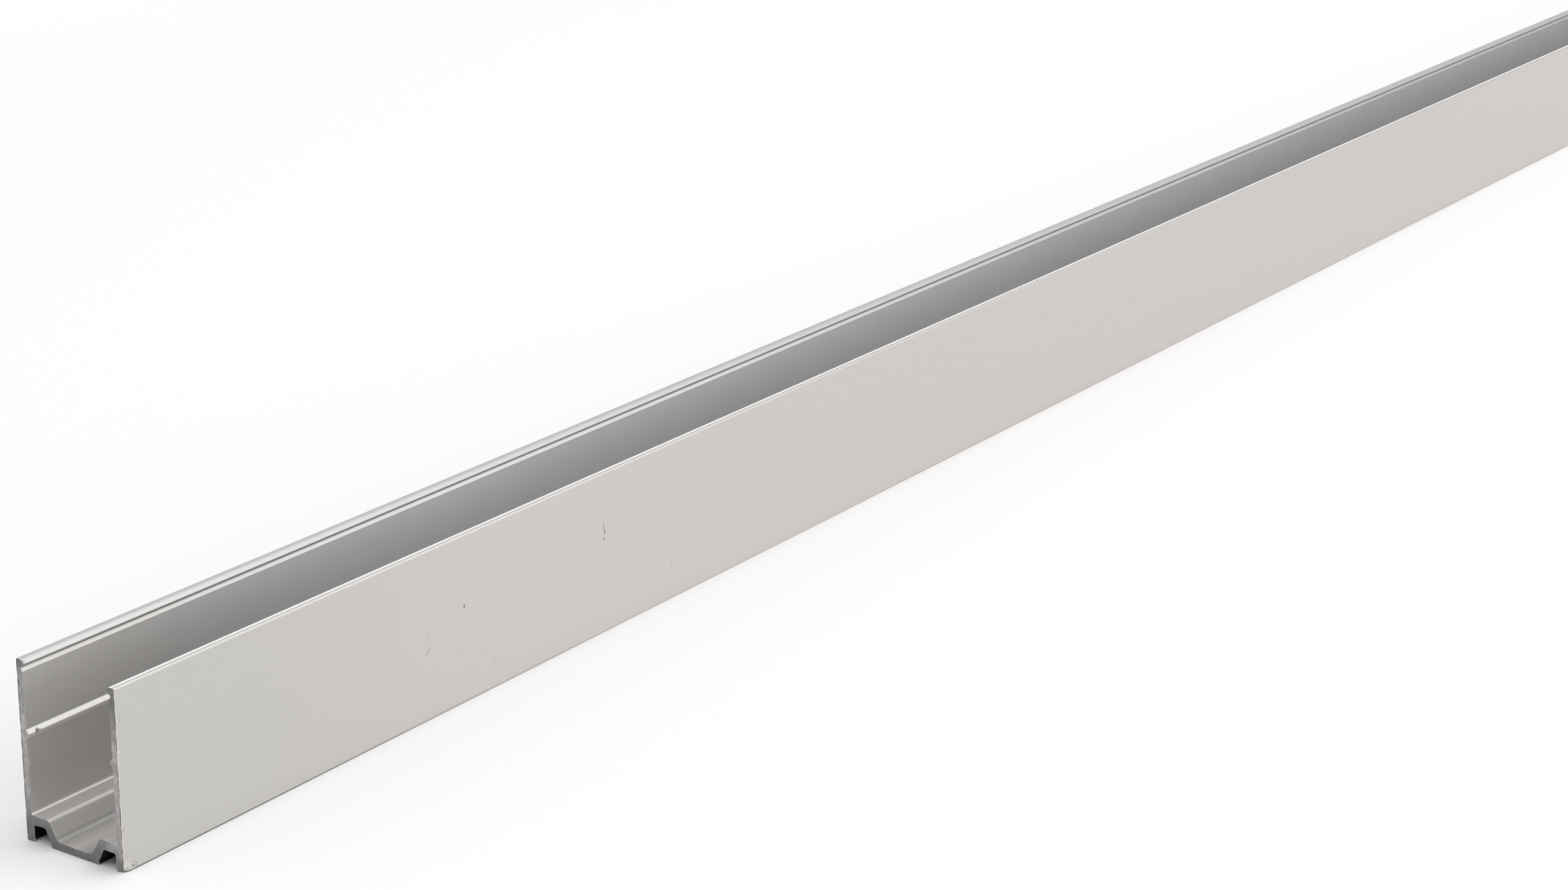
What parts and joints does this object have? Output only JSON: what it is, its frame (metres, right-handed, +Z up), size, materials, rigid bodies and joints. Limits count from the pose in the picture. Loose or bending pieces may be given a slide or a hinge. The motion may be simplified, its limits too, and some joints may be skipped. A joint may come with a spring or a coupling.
{
  "type": "aluminium extrusion profile",
  "caption": "Straight aluminium extrusion with a tall open U section: thin walls with snap lips and mid-height ribs, and a stepped base with a sunken trough along its middle.",
  "frame": {"origin": "middle of the length and of the width, on the plane that the feet and the flat base rest on", "axes": "+X along the length, +Y across the width, +Z up out of the open mouth"},
  "size_m": [1, 0.017, 0.025],
  "materials": {
    "anodised_aluminium": "satin, clear anodised, with saw-cut ends"
  },
  "bodies": {
    "root": {"channel_profile": "anodised_aluminium"}
  },
  "joints": []
}
